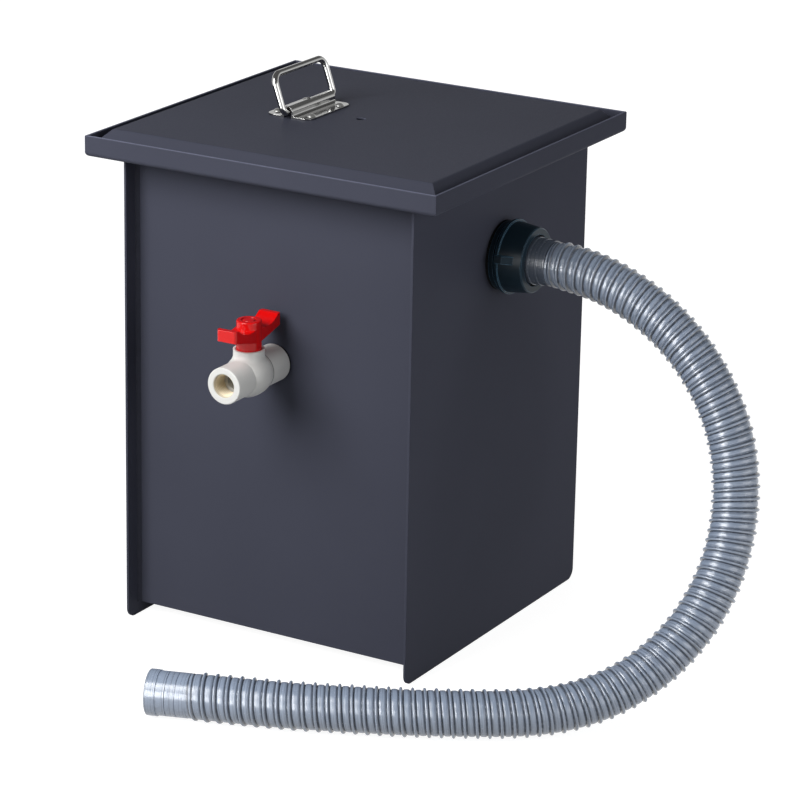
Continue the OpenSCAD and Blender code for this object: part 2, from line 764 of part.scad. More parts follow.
module valve_handle() color(red_plastic) at_stem() difference() {
    union() {
        rotate_extrude() translate([0, skirt_z])
            rounded_section(boss_d / 2, handle_top - skirt_z, boss_edge);
        for (turn = [0, 180]) rotate(turn) intersection() {
            linear_extrude(handle_top) wing_plan();
            rotate([90, 0, 90]) linear_extrude(2 * wing_w, center = true) wing_side();
        }
    }
    translate([0, 0, skirt_z - 1]) cylinder(r = stem_d / 2 + fit_gap, h = stem_top - skirt_z + 1);
    translate([0, 0, handle_top - boss_ring_depth])
        ring_of(boss_ring_r + boss_ring_w, boss_ring_r, boss_ring_depth + 1);
}

module valve_nipple() color(white_plastic) at_valve() {
    inside = 2 * washer_t + sheet + nipple_nut_t + thread_end;
    thread_r = thread_d / 2 - fit_gap;
    translate([0, 0, -inside]) ring_of(thread_r, thread_r - nipple_wall, inside + thread_l - 1);
}

module nipple_washers() color(black_rubber) at_valve()
    for (z = [-washer_t, -2 * washer_t - sheet])
        translate([0, 0, z]) ring_of(nipple_washer_d / 2, thread_d / 2, washer_t);

module nipple_locknut() color(white_plastic) at_valve()
    translate([0, 0, -2 * washer_t - sheet - nipple_nut_t])
        hex_nut(nipple_nut_d / 2, thread_d / 2, nipple_nut_t);

// Section of a spigot in a side plate: inner thread, flange outside, then a plain or threaded stub
module spigot_section(stub_r, bore_r, stub_end) {
    polygon([
        [bore_r, -thread_in], [spigot_d / 2, -thread_in], [spigot_d / 2, washer_t],
        [spigot_flange_d / 2, washer_t], [spigot_flange_d / 2, flange_out], [stub_r, flange_out],
        [stub_r, stub_end], [bore_r, stub_end]
    ]);
}

module spigot_washers() {
    for (z = [0, -sheet - washer_t])
        translate([0, 0, z]) ring_of(spigot_flange_d / 2, spigot_d / 2 + fit_gap, washer_t);
}

module spigot_locknut() {
    translate([0, 0, -sheet - washer_t - spigot_nut_t])
        hex_nut(spigot_nut_d / 2, spigot_d / 2 + fit_gap, spigot_nut_t);
}

module outlet_spigot() color(black_plastic) at_port() rotate_extrude()
    spigot_section(spigot_d / 2, spigot_d / 2 - spigot_wall, spigot_end);

module outlet_washers() color(black_rubber) at_port() spigot_washers();

module outlet_locknut() color(black_plastic) at_port() spigot_locknut();

module inlet_spigot() color(black_plastic) at_inlet() rotate_extrude()
    spigot_section(inlet_d / 2, inlet_d / 2 - inlet_wall, nut_front);

module inlet_washers() color(black_rubber) at_inlet() spigot_washers();

module inlet_locknut() color(black_plastic) at_inlet() spigot_locknut();

// Section of the coupling nut: thin rear rim, tapered body and an inner lip that holds the cuff
module nut_section() {
    thread_r = spigot_d / 2 + fit_gap;
    lip_r = cuff_d / 2 + nut_room;
    polygon([
        [thread_r, nut_rear], [nut_d / 2, nut_rear], [nut_d / 2, nut_rear + nut_rim_l],
        [nut_d / 2 - nut_rim_step, nut_rear + nut_rim_l], [nut_front_d / 2, nut_front - nut_edge],
        [nut_front_d / 2 - nut_edge, nut_front], [lip_r, nut_front], [lip_r, nut_lip], [thread_r, nut_lip]
    ]);
}

// Side view of a grip lug: a fin on the rear rim that slopes down to the nut's body
module lug_side() {
    root_r = nut_d / 2 - lug_root;
    top_r = nut_d / 2 + lug_rise;
    polygon([
        [root_r, nut_rear + nut_rim_l / 2], [top_r, nut_rear + nut_rim_l / 2], [top_r, lug_level],
        [nut_front_d / 2 - nut_edge, lug_end], [root_r, lug_end]
    ]);
}

module hose_nut() color(black_plastic) at_port() {
    rotate_extrude() nut_section();
    for (side = [90, 270])
        rotate(side - lug_turn) rotate([90, 0, 0]) linear_extrude(lug_t, center = true) lug_side();
}

module hose_seal() color(black_rubber) at_port() translate([0, 0, spigot_end])
    ring_of(spigot_d / 2 - fit_gap, spigot_d / 2 - spigot_wall, seal_t);

module hose_cuff() color(grey_plastic) at_port() difference() {
    union() {
        translate([0, 0, cuff_flange]) cylinder(r = spigot_d / 2 - fit_gap, h = cuff_flange_t);
        for (i = [1 : cuff_steps])
            translate([0, 0, cuff_start])
                cylinder(r = cuff_d / 2 - (i - 1) * cuff_step, h = cuff_l * i / cuff_steps);
    }
    translate([0, 0, cuff_flange - 1]) cylinder(d = hose_bore_d, h = cuff_flange_t + cuff_l + 2);
}

module drain_hose() color(grey_plastic) in_frame() {
    corners = [for (i = [0 : route_last]) each ring(i)];
    sides = [
        for (i = [0 : route_last - 1], k = [0 : hose_sides - 1])
            let (a = i * hose_sides + k, b = i * hose_sides + (k + 1) % hose_sides)
            each [[a, a + hose_sides, b + hose_sides], [a, b + hose_sides, b]]
    ];
    start = [for (k = [0 : hose_sides - 1]) k];
    end = [for (k = [hose_sides - 1 : -1 : 0]) route_last * hose_sides + k];
    polyhedron(corners, concat(sides, [start, end]));
}

module hose_end_cuff() color(grey_plastic) at_hose_end() difference() {
    union() {
        cylinder(d = end_cuff_d, h = end_cuff_l - end_collar_edge);
        rotate_extrude() translate([0, end_cuff_l - end_collar_l])
            rounded_section(end_collar_d / 2, end_collar_l, end_collar_edge);
    }
    translate([0, 0, -1]) cylinder(d = hose_bore_d, h = end_cuff_l + 2);
    for (i = [1 : end_grooves]) translate([0, 0, i * (end_cuff_l - end_collar_l) / (end_grooves + 1)])
        ring_of(hose_d, end_cuff_d / 2 - end_groove, end_groove);
}

left_side_plate();
right_side_plate();
front_panel();
rear_panel();
floor_plate();
weld_beads();
rim_tray();
lid_gasket();
lid();
handle_saddle();
handle_rivets();
handle_bail();
inlet_baffle();
outlet_weir();
basket_rails();
strainer_basket();
basket_floor();
basket_handle();
valve_body();
valve_end();
valve_seats();
valve_ball();
valve_stem();
stem_o_ring();
valve_handle();
valve_nipple();
nipple_washers();
nipple_locknut();
outlet_spigot();
outlet_washers();
outlet_locknut();
hose_nut();
hose_seal();
hose_cuff();
drain_hose();
hose_end_cuff();
inlet_spigot();
inlet_washers();
inlet_locknut();
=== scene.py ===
"""Looks of a sheet-steel grease trap: finishes, ribbed hose, valve thread, weld beads, light and camera."""
import json
import math

import bpy
import numpy as np
from mathutils import Matrix, Vector


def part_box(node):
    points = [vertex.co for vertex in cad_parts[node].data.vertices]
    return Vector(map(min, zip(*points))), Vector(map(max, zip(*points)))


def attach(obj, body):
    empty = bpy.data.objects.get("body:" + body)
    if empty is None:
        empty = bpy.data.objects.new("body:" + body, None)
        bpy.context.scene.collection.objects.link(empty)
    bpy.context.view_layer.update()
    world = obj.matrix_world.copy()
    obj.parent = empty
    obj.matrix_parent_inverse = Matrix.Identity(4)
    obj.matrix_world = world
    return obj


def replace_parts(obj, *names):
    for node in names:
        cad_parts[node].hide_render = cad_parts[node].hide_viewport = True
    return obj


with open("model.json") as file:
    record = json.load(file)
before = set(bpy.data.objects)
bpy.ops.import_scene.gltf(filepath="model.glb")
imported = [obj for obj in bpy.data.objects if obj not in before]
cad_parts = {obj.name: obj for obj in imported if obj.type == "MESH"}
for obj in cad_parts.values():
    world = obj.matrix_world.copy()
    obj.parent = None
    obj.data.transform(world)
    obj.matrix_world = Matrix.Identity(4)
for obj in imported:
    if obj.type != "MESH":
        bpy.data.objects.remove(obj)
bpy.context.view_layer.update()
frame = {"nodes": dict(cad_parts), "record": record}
record = frame["record"]

MM = 0.001
TURN = 2 * math.pi

# The tank's middle in plan, from the rim tray
RIM_LOW, RIM_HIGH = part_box("rim_tray")
TANK = Vector(((RIM_LOW.x + RIM_HIGH.x) / 2, (RIM_LOW.y + RIM_HIGH.y) / 2, 0.0))

# Camera, fitted to the edges in the photograph: degrees, metres, and pixels of its square frame
CAMERA_AZIMUTH = 30.094
CAMERA_ELEVATION = 18.659
CAMERA_ROLL = 1.076
CAMERA_DISTANCE = 3.079
CAMERA_TARGET = TANK + Vector((0.04299, 0.0, 0.18913))
FOCAL_PIXELS = 3625.5
FRAME_PIXELS = 800
SENSOR_MM = 36.0

# Route of the hose's middle in millimetres from the tank's middle, as in the part's source
ROUTE = (
    (186, 0, 333.5), (228, 0, 328.5), (267, 0, 314), (301.5, 0, 291), (329.5, -1, 260.5),
    (351, -4, 223.5), (363, -11, 184), (368.5, -25, 145), (367.5, -45.5, 109), (358.5, -71, 76.5),
    (342.5, -99.5, 50.5), (320, -129.5, 32), (291.5, -160.5, 22), (260, -188, 20), (225.5, -210, 20),
    (189, -231, 20), (150.5, -248.5, 20), (112.5, -266, 20), (73.5, -280.5, 20), (26, -296.5, 20),
)
# Straight leads before and after the route, inside the two cuffs, in millimetres
ROUTE_LEAD = 42.0
# Steps of the smooth curve from one point of the route to the next
SPAN_STEPS = 60

# Ribbed hose: a smooth tube with a round bead wound round it and a crease on both sides of the bead
HOSE_RADIUS = 18.0 * MM
HOSE_BORE = 16.6 * MM
# The beads stand closer at the nut than at the free end
BEAD_PITCH_NUT = 7.9 * MM
BEAD_PITCH_END = 10.15 * MM
BEAD_HALF = 1.45 * MM
BEAD_RISE = 1.9 * MM
# Length at both ends over which the bead grows to its full height
BEAD_RAMP = 9.0 * MM
CREASE_DEPTH = 0.75 * MM
CREASE_HALF = 0.5 * MM
BULGE = 0.35 * MM
HOSE_SIDES = 48
HOSE_STEP = 0.46 * MM
# The bore has one ring for this many rings outside
BORE_EVERY = 8

# Thread in the valve's mouth: a thin sleeve with a ridge that grows over its lead
THREAD_PITCH = 1.814 * MM
THREAD_DEPTH = 0.8 * MM
THREAD_LEAD = 2.2 * MM
THREAD_LENGTH = 15.3 * MM
THREAD_WALL = 0.1 * MM
THREAD_ROOM = 0.02 * MM
THREAD_SIDES = 72
THREAD_STEP = 0.15 * MM
# Steepness of the ridge's flanks, and how much of it is cut away at the root
RIDGE_STEEP = 1.6
RIDGE_CUT = 0.4

# Fillet between the valve's neck and its barrel, measured from the middle of the ball
NECK_RADIUS = 13.0 * MM
BARREL_RADIUS = 18.4 * MM
BARREL_END_RADIUS = 15.6 * MM
BARREL_HALF = 13.0 * MM
SOCKET_RADIUS = 15.3 * MM
FILLET = 3.4 * MM
FILLET_SIDES = 120
FILLET_STEPS = 10
FILLET_TRIES = 60
# How far the fillet's edges sink into the neck and the barrel
FILLET_SINK = 0.06 * MM

# Weld beads: spacing of the ripples, their lowest share and their rise, and how hollow the skin is
WELD_RIPPLE = 2.6 * MM
WELD_LOW = 0.82
WELD_RISE = 0.18
WELD_HOLLOW = 0.3
WELD_STEP = 0.65 * MM
WELD_ARC = 7

# Edges of the scene's own pieces that turn by more than this stay sharp
SHARP_ANGLE = math.radians(50)

# Colours, as sRGB levels
PAINT = (65, 67, 79)
STEEL = (172, 172, 171)
RIVET = (212, 212, 210)
WHITE = (217, 217, 214)
CREAM = (253, 238, 208)
SEAT = (240, 238, 228)
RED = (210, 12, 12)
BLACK = (30, 46, 57)
RUBBER = (16, 17, 19)
HOSE = (132, 144, 163)

# Colours of the lid, the welds and the cuff at the nut, as shares of the tank's and the hose's; the lid's
# and the cuff's are painted shade, darker copies of the same paint and plastic
LID_SHADE = 0.9
WELD_TONE = 0.6
CUFF_SHADE = 0.42

# Skins: range of roughness, change of tone, scale of patches and grain, relief, and the shader's sockets
PAINT_SKIN = {"roughness": (0.5, 0.62), "tone": 0.03, "patch": 9.0, "grain": 1100.0, "relief": 0.05,
              "Specular_IOR_Level": 0.03}
WELD_SKIN = {"roughness": (0.5, 0.62), "tone": 0.06, "patch": 120.0, "grain": 1500.0, "relief": 0.1,
             "Specular_IOR_Level": 0.05}
STEEL_SKIN = {"roughness": (0.08, 0.15), "tone": 0.08, "patch": 30.0, "grain": 120.0, "relief": 0.01,
              "stretch": (6, 1, 6), "Metallic": 1.0}
RIVET_SKIN = {"roughness": (0.3, 0.38), "tone": 0.04, "patch": 60.0, "grain": 400.0, "relief": 0.01,
              "Metallic": 1.0}
WHITE_SKIN = {"roughness": (0.34, 0.42), "tone": 0.01, "patch": 40.0, "grain": 700.0, "relief": 0.01,
              "Specular_IOR_Level": 0.25}
THREAD_SKIN = {"roughness": (0.4, 0.5), "tone": 0.04, "patch": 90.0, "grain": 900.0, "relief": 0.03,
               "Specular_IOR_Level": 0.2}
SEAT_SKIN = {"roughness": (0.4, 0.5), "tone": 0.02, "patch": 60.0, "grain": 800.0, "relief": 0.02}
RED_SKIN = {"roughness": (0.14, 0.2), "tone": 0.03, "patch": 60.0, "grain": 800.0, "relief": 0.01,
            "Specular_IOR_Level": 0.3}
BLACK_SKIN = {"roughness": (0.3, 0.4), "tone": 0.1, "patch": 50.0, "grain": 900.0, "relief": 0.04,
              "Specular_IOR_Level": 0.12}
RUBBER_SKIN = {"roughness": (0.65, 0.8), "tone": 0.1, "patch": 60.0, "grain": 1200.0, "relief": 0.08,
               "Specular_IOR_Level": 0.1}
HOSE_SKIN = {"roughness": (0.2, 0.28), "tone": 0.03, "patch": 30.0, "grain": 700.0, "relief": 0.004,
             "IOR": 1.55, "Specular_IOR_Level": 0.9}

# Detail of the noises for patches, grain and lines, and the range in which most of a noise lies
PATCH_DETAIL = 4.0
GRAIN_DETAIL = 2.0
LINE_DETAIL = 1.0
NOISE_LOW = 0.3
NOISE_HIGH = 0.7
# The same range for two noises added together
PAIR_LOW = 0.7
PAIR_HIGH = 1.3

# Fine lines on the hose, by turns of its bead, and on its cuffs, by metres; in tone they are partly real
# lines and partly painted streaks of reflection
RIB_LINES = {"tone": 0.22, "relief": 0.2, "coarse": 7.0, "fine": 17.0}
CUFF_LINES = {"tone": 0.15, "relief": 0.08, "coarse": 350.0, "fine": 900.0}
END_LINES = {"tone": 0.2, "relief": 0.08, "coarse": 350.0, "fine": 900.0}

# Gloss of the hose drawn out along its bead: how much, and the turn of its direction
RIB_GLOSS = 0.5
RIB_GLOSS_TURN = 0.25

# Painted shade in the hose's creases: colour of the hose from the middle of a bead, in turns, to the middle
# of the gap beside it
CREASE_PAINTED_SHADE = ((0.0, 1.0), (0.08, 0.9), (0.135, 0.27), (0.18, 0.27), (0.27, 1.0))
HALF_TURN = 0.5

# Painted shade in the roots of the thread: their colour, as a share of that on its crests
ROOT_PAINTED_SHADE = 0.6

# Painted shade along the step between the valve's body and its end piece: half its width, and its share of
# the colour
SEAM_HALF = 0.9 * MM
SEAM_SHADE_SHARE = 0.35

# Painted highlights along edges: their width, and their share of the colour
PAINT_EDGE_HIGHLIGHT = 0.9 * MM
PAINT_EDGE_HIGHLIGHT_SHARES = {"tank_paint": 1.3, "rim_paint": 2.6, "lid_paint": 2.6}
NUT_EDGE_HIGHLIGHT = 0.8 * MM
NUT_EDGE_HIGHLIGHT_SHARE = 13.0
# Cosine between the rounded and the flat normal on an edge, and beside it
ON_EDGE = 0.75
OFF_EDGE = 0.985
EDGE_SAMPLES = 6

# Edges that only look rounded
SOFT_EDGES = {"white_plastic": 0.7 * MM, "red_plastic": 1.0 * MM, "stainless": 0.45 * MM}

# Painted highlight along the rim's upper edge: how far down it reaches, and its share of the colour
RIM_HIGHLIGHT_DEPTH = 0.7 * MM
RIM_HIGHLIGHT_SHARE = 2.1

# Nodes whose finish isn't that of their slot
OWN_FINISHES = {
    "rim_tray": "rim_paint", "lid": "lid_paint", "hose_end_cuff": "end_cuff", "handle_rivets": "rivet_metal",
}

# Studio: a square floor and a round white backdrop under a dim sky, in metres
FLOOR_HALF = 8.0
BACKDROP_RADIUS = 7.5
BACKDROP_HEIGHT = 3.9
BACKDROP_FADE = 1.7
BACKDROP_SIDES = 96
# Grey of the stage for bounced light and for what is seen, and its own glow
STAGE_GREY = 0.4
SEEN_GREY = 0.3
FLOOR_GLOW = 0.93
BACKDROP_GLOW = 0.97
SKY = 0.16

# Square lamps round the tank, in degrees, metres and watts, and the height they face
LAMPS = {
    "key": {"azimuth": -20.0, "elevation": 35.0, "distance": 1.6, "size": 1.0, "watts": 29.5},
    "fill": {"azimuth": 90.0, "elevation": 6.0, "distance": 3.0, "size": 2.6, "watts": 47.0},
    "shine": {"azimuth": -8.0, "elevation": 6.0, "distance": 2.2, "size": 1.1, "watts": 42.0},
    "back": {"azimuth": 200.0, "elevation": 5.0, "distance": 3.0, "size": 2.6, "watts": 34.0},
}
LAMP_AIM = 0.22
# Kinds of ray that don't meet a lamp
LAMP_HIDDEN = {
    "shine": ("visible_camera", "visible_diffuse"),
    "back": ("visible_camera", "visible_glossy"),
}


def entry(rows, name):
    """The row with a name, from a list in the record."""
    return next(row for row in rows if row["name"] == name)


def valve_middle():
    """Middle of the valve's ball."""
    return Vector(entry(record["behaviour"]["joints"], "valve_quarter_turn")["pos_m"])


def direction(azimuth, elevation):
    """Unit vector towards a place round the tank, by degrees."""
    turn, rise = math.radians(azimuth), math.radians(elevation)
    return Vector((math.sin(turn) * math.cos(rise), -math.cos(turn) * math.cos(rise), math.sin(rise)))


def linear(*levels):
    """Linear colour of sRGB levels from 0 to 255."""
    shares = [level / 255 for level in levels]
    return tuple(s / 12.92 if s <= 0.04045 else ((s + 0.055) / 1.055) ** 2.4 for s in shares) + (1.0,)


def scaled(colour, share):
    """A colour made lighter or darker."""
    return tuple(min(1.0, c * share) for c in colour[:3]) + (1.0,)


def grey(level):
    """A grey of a linear level."""
    return (level, level, level, 1.0)


def add(tree, kind, inputs=None, **settings):
    """A new shader node. Its inputs are values, or sockets of other nodes to link."""
    made = tree.nodes.new("ShaderNode" + kind)
    for key, value in settings.items():
        setattr(made, key, value)
    for key, value in (inputs or {}).items():
        if isinstance(value, bpy.types.NodeSocket):
            tree.links.new(value, made.inputs[key])
        else:
            made.inputs[key].default_value = value
    return made


def ramp(tree, factor, low, high, start=NOISE_LOW, end=NOISE_HIGH):
    """A colour between low and high, by a factor."""
    made = add(tree, "ValToRGB", {"Fac": factor})
    first, last = made.color_ramp.elements
    first.position, first.color = start, low
    last.position, last.color = end, high
    return made.outputs["Color"]


def between(tree, factor, low, high, start=NOISE_LOW, end=NOISE_HIGH):
    """A number between low and high, by a factor."""
    sockets = {"Value": factor, "From Min": start, "From Max": end, "To Min": low, "To Max": high}
    return add(tree, "MapRange", sockets).outputs["Result"]


def object_place(tree):
    """A socket with the place in the shared frame."""
    return add(tree, "TexCoord").outputs["Object"]


def place_along(tree, axis):
    """A socket with the place along X, Y or Z."""
    return add(tree, "SeparateXYZ", {"Vector": object_place(tree)}).outputs[axis]


def mix_in(material, factor, colour, blend="MIX"):
    """Mixes a colour into a material's own."""
    tree = material.node_tree
    base = tree.nodes["Principled BSDF"].inputs["Base Color"]
    sockets = {"Fac": factor, "Color1": base.links[0].from_socket, "Color2": colour}
    tree.links.new(add(tree, "MixRGB", sockets, blend_type=blend).outputs["Color"], base)


def darken(material, shade):
    """Multiplies a material's colour by that of a socket."""
    mix_in(material, 1.0, shade, "MULTIPLY")


def finish(name, colour, roughness, tone, patch, grain, relief, stretch=(1, 1, 1), **shine):
    """A material whose colour drifts in soft patches, with uneven gloss and a fine grain in relief."""
    material = bpy.data.materials.new(name)
    material.use_nodes = True
    tree = material.node_tree
    shader = tree.nodes["Principled BSDF"]
    for key, value in shine.items():
        shader.inputs[key.replace("_", " ")].default_value = value
    along = add(tree, "Mapping", {"Vector": object_place(tree), "Scale": stretch}).outputs["Vector"]
    drift = add(tree, "TexNoise", {"Vector": along, "Scale": patch, "Detail": PATCH_DETAIL}).outputs["Fac"]
    fine = add(tree, "TexNoise", {"Vector": along, "Scale": grain, "Detail": GRAIN_DETAIL}).outputs["Fac"]
    base = ramp(tree, drift, scaled(colour, 1 - tone), scaled(colour, 1 + tone))
    tree.links.new(base, shader.inputs["Base Color"])
    tree.links.new(between(tree, fine, *roughness), shader.inputs["Roughness"])
    bump = add(tree, "Bump", {"Height": fine, "Strength": relief, "Distance": MM})
    tree.links.new(bump.outputs["Normal"], shader.inputs["Normal"])
    return material


def soften(material, radius):
    """Rounds the look of a part's edges."""
    tree = material.node_tree
    rounded = add(tree, "Bevel", {"Radius": radius}, samples=EDGE_SAMPLES).outputs["Normal"]
    tree.links.new(rounded, tree.nodes["Bump"].inputs["Normal"])
    return rounded


def paint_edge_highlight(material, colour, radius, share):
    """Rounded edges with a painted highlight: a lighter colour along them for light caught on the edge, on
    paint partly also its thinner coat.
    """
    tree = material.node_tree
    sockets = {0: soften(material, radius), 1: add(tree, "NewGeometry").outputs["Normal"]}
    facing = add(tree, "VectorMath", sockets, operation="DOT_PRODUCT").outputs["Value"]
    mix_in(material, between(tree, facing, 1.0, 0.0, ON_EDGE, OFF_EDGE), scaled(colour, share))


def paint_top_highlight(material, colour, top):
    """A painted highlight: a lighter band along an upper edge at a height."""
    tree = material.node_tree
    edge = between(tree, place_along(tree, "Z"), 0.0, 1.0, top - RIM_HIGHLIGHT_DEPTH, top - RIM_HIGHLIGHT_DEPTH / 2)
    mix_in(material, edge, scaled(colour, RIM_HIGHLIGHT_SHARE))


def score(material, place, colour, tone, relief, coarse, fine):
    """Fine uneven lines across a socket that gives a place along a piece, in tone and in relief; the tone is
    partly painted streaks of reflection.
    """
    tree = material.node_tree
    shader = tree.nodes["Principled BSDF"]

    def lines(scale):
        """Noise along the piece."""
        sockets = {"W": place, "Scale": scale, "Detail": LINE_DETAIL}
        return add(tree, "TexNoise", sockets, noise_dimensions="1D").outputs["Fac"]

    height = add(tree, "Math", {0: lines(coarse), 1: lines(fine)}, operation="ADD").outputs[0]
    base = ramp(tree, height, scaled(colour, 1 - tone), scaled(colour, 1 + tone), PAIR_LOW, PAIR_HIGH)
    tree.links.new(base, shader.inputs["Base Color"])
    bump = add(tree, "Bump", {"Height": height, "Strength": relief, "Distance": MM})
    tree.links.new(bump.outputs["Normal"], tree.nodes["Bump"].inputs["Normal"])


def score_turns(material, colour):
    """Lines and gloss wound round the hose with its bead, and painted shade in the crease on both sides of
    the bead.
    """
    tree = material.node_tree
    shader = tree.nodes["Principled BSDF"]
    skin = add(tree, "UVMap", uv_map="turns").outputs["UV"]
    turns = add(tree, "SeparateXYZ", {"Vector": skin}).outputs["X"]
    score(material, turns, colour, **RIB_LINES)
    shader.inputs["Anisotropic"].default_value = RIB_GLOSS
    shader.inputs["Anisotropic Rotation"].default_value = RIB_GLOSS_TURN
    around = add(tree, "Tangent", direction_type="UV_MAP", uv_map="turns").outputs["Tangent"]
    tree.links.new(around, shader.inputs["Tangent"])
    # Painted shade: the colour darkens in the crease beside each bead
    gap = add(tree, "Math", {0: turns, 1: HALF_TURN}, operation="PINGPONG").outputs[0]
    shade = add(tree, "ValToRGB", {"Fac": gap})
    stops = shade.color_ramp.elements
    for place, _ in CREASE_PAINTED_SHADE[1:-1]:
        stops.new(place)
    for stop, (place, level) in zip(stops, CREASE_PAINTED_SHADE):
        stop.position, stop.color = place, grey(level)
    darken(material, shade.outputs["Color"])


def score_rings(material, axis, colour, lines):
    """Lines round a cuff that lies along an axis."""
    tree = material.node_tree
    along = add(tree, "VectorMath", {0: object_place(tree), 1: axis}, operation="DOT_PRODUCT")
    score(material, along.outputs["Value"], colour, **lines)


def shade_roots_painted(material, middle, crest, root):
    """Darker roots of a thread round an axis along Y: painted shade in the recess."""
    tree = material.node_tree
    sockets = {0: object_place(tree), 1: (1.0, 0.0, 1.0)}
    flat = add(tree, "VectorMath", sockets, operation="MULTIPLY").outputs["Vector"]
    centre = (middle[0], 0.0, middle[2])
    radius = add(tree, "VectorMath", {0: flat, 1: centre}, operation="DISTANCE").outputs["Value"]
    depth = between(tree, radius, 0.0, 1.0, crest, root)
    darken(material, ramp(tree, depth, grey(1.0), grey(ROOT_PAINTED_SHADE)))


def paint_seam_shade(material, seam):
    """A dark line across an axis along Y: painted shade at the step between two parts."""
    tree = material.node_tree
    off = add(tree, "Math", {0: place_along(tree, "Y"), 1: seam}, operation="SUBTRACT").outputs[0]
    away = add(tree, "Math", {0: off}, operation="ABSOLUTE").outputs[0]
    share = between(tree, away, 0.0, 1.0, 0.0, SEAM_HALF)
    darken(material, ramp(tree, share, grey(SEAM_SHADE_SHARE), grey(1.0)))


def make_materials():
    """One material for each of the record's slots, and those of single nodes and of added pieces."""
    paint, white, black, hose = linear(*PAINT), linear(*WHITE), linear(*BLACK), linear(*HOSE)
    # Painted shade: the cuff at the nut is a darker copy of the hose's plastic
    cuff = scaled(hose, CUFF_SHADE)
    looks = {
        "tank_paint": (paint, PAINT_SKIN),
        "rim_paint": (paint, PAINT_SKIN),
        # Painted shade: the lid is a darker copy of the tank's paint
        "lid_paint": (scaled(paint, LID_SHADE), PAINT_SKIN),
        "weld": (scaled(paint, WELD_TONE), WELD_SKIN),
        "stainless": (linear(*STEEL), STEEL_SKIN),
        "rivet_metal": (linear(*RIVET), RIVET_SKIN),
        "white_plastic": (white, WHITE_SKIN),
        "fillet": (white, WHITE_SKIN),
        "thread": (linear(*CREAM), THREAD_SKIN),
        "seat_plastic": (linear(*SEAT), SEAT_SKIN),
        "red_plastic": (linear(*RED), RED_SKIN),
        "black_plastic": (black, BLACK_SKIN),
        "black_rubber": (linear(*RUBBER), RUBBER_SKIN),
        "hose_plastic": (cuff, HOSE_SKIN),
        "end_cuff": (hose, HOSE_SKIN),
        "hose_ribs": (hose, HOSE_SKIN),
    }
    made = {name: finish(name, colour, **skin) for name, (colour, skin) in looks.items()}
    # Painted highlights along the edges of the paint and of the nut
    for name, share in PAINT_EDGE_HIGHLIGHT_SHARES.items():
        paint_edge_highlight(made[name], paint, PAINT_EDGE_HIGHLIGHT, share)
    paint_edge_highlight(made["black_plastic"], black, NUT_EDGE_HIGHLIGHT, NUT_EDGE_HIGHLIGHT_SHARE)
    # Painted highlight along the rim's upper edge
    paint_top_highlight(made["rim_paint"], paint, RIM_HIGH.z)
    for name, radius in SOFT_EDGES.items():
        soften(made[name], radius)
    score_turns(made["hose_ribs"], hose)
    score_rings(made["hose_plastic"], (1.0, 0.0, 0.0), cuff, CUFF_LINES)
    score_rings(made["end_cuff"], entry(record["mounts"], "hose_outlet")["axis"], hose, END_LINES)
    mouth = entry(record["mounts"], "valve_outlet")
    root = mouth["dims"]["r_mm"] * MM - THREAD_WALL
    # Painted shade in the roots of the mouth's thread
    shade_roots_painted(made["thread"], mouth["pos_m"], root - THREAD_DEPTH, root)
    # Painted shade where the barrel steps down to the end piece
    paint_seam_shade(made["white_plastic"], valve_middle().y + BARREL_HALF)
    return made


def make_piece(name, corners, faces, material):
    """A smooth mesh piece that rides on the tank."""
    mesh = bpy.data.meshes.new(name)
    mesh.from_pydata(np.asarray(corners).tolist(), [], faces)
    mesh.materials.append(material)
    mesh.shade_smooth()
    mesh.set_sharp_from_angle(angle=SHARP_ANGLE)
    piece = bpy.data.objects.new(name, mesh)
    bpy.context.scene.collection.objects.link(piece)
    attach(piece, "tank")
    return piece


def ring_faces(first, second, sides):
    """Quads between two rings of corners, given by the numbers of their first corners."""
    following = [(k + 1) % sides for k in range(sides)]
    return [(first + k, first + n, second + n, second + k) for k, n in enumerate(following)]


def hose_line():
    """Points along the hose's middle at even steps, and how far along it they are."""
    points = np.array(ROUTE, float)
    leave = np.array((1.0, 0.0, 0.0))
    end = points[-1] - points[-2]
    end /= np.linalg.norm(end)
    points = np.vstack((points[0] - ROUTE_LEAD * leave, points, points[-1] + ROUTE_LEAD * end))
    control = points.copy()
    control[1:-1] -= (points[:-2] - 2 * points[1:-1] + points[2:]) / 6
    t = np.linspace(0, 1, SPAN_STEPS, endpoint=False)[:, None]
    weights = ((1 - t) ** 3, 3 * t**3 - 6 * t**2 + 4, -3 * t**3 + 3 * t**2 + 3 * t + 1, t**3)
    spans = range(len(control) - 3)
    dense = np.vstack([sum(w * control[i + k] for k, w in enumerate(weights)) / 6 for i in spans])
    dense = np.vstack((dense, points[-2])) * MM + np.array(TANK)
    reach = np.concatenate(([0.0], np.cumsum(np.linalg.norm(np.diff(dense, axis=0), axis=1))))
    even = np.linspace(0, reach[-1], round(reach[-1] / HOSE_STEP) + 1)
    return np.column_stack([np.interp(even, reach, dense[:, axis]) for axis in range(3)]), even


def cross_axes(line):
    """Two axes across a line at each of its points, carried along it without twist."""
    ahead = np.gradient(line, axis=0)
    ahead /= np.linalg.norm(ahead, axis=1)[:, None]
    across = np.empty_like(ahead)
    axis = np.array((0.0, 1.0, 0.0))
    for i, way in enumerate(ahead):
        axis = axis - way * (axis @ way)
        axis /= np.linalg.norm(axis)
        across[i] = axis
    return across, np.cross(ahead, across)


def bead_pitch(place, length):
    """Distance from one turn of the bead to the next, at a place along the hose."""
    return BEAD_PITCH_NUT + (BEAD_PITCH_END - BEAD_PITCH_NUT) * place / length


def bead_turns(place, length):
    """Turns of the bead from the nut to a place along the hose."""
    growth = (BEAD_PITCH_END - BEAD_PITCH_NUT) / length
    return np.log(bead_pitch(place, length) / BEAD_PITCH_NUT) / growth


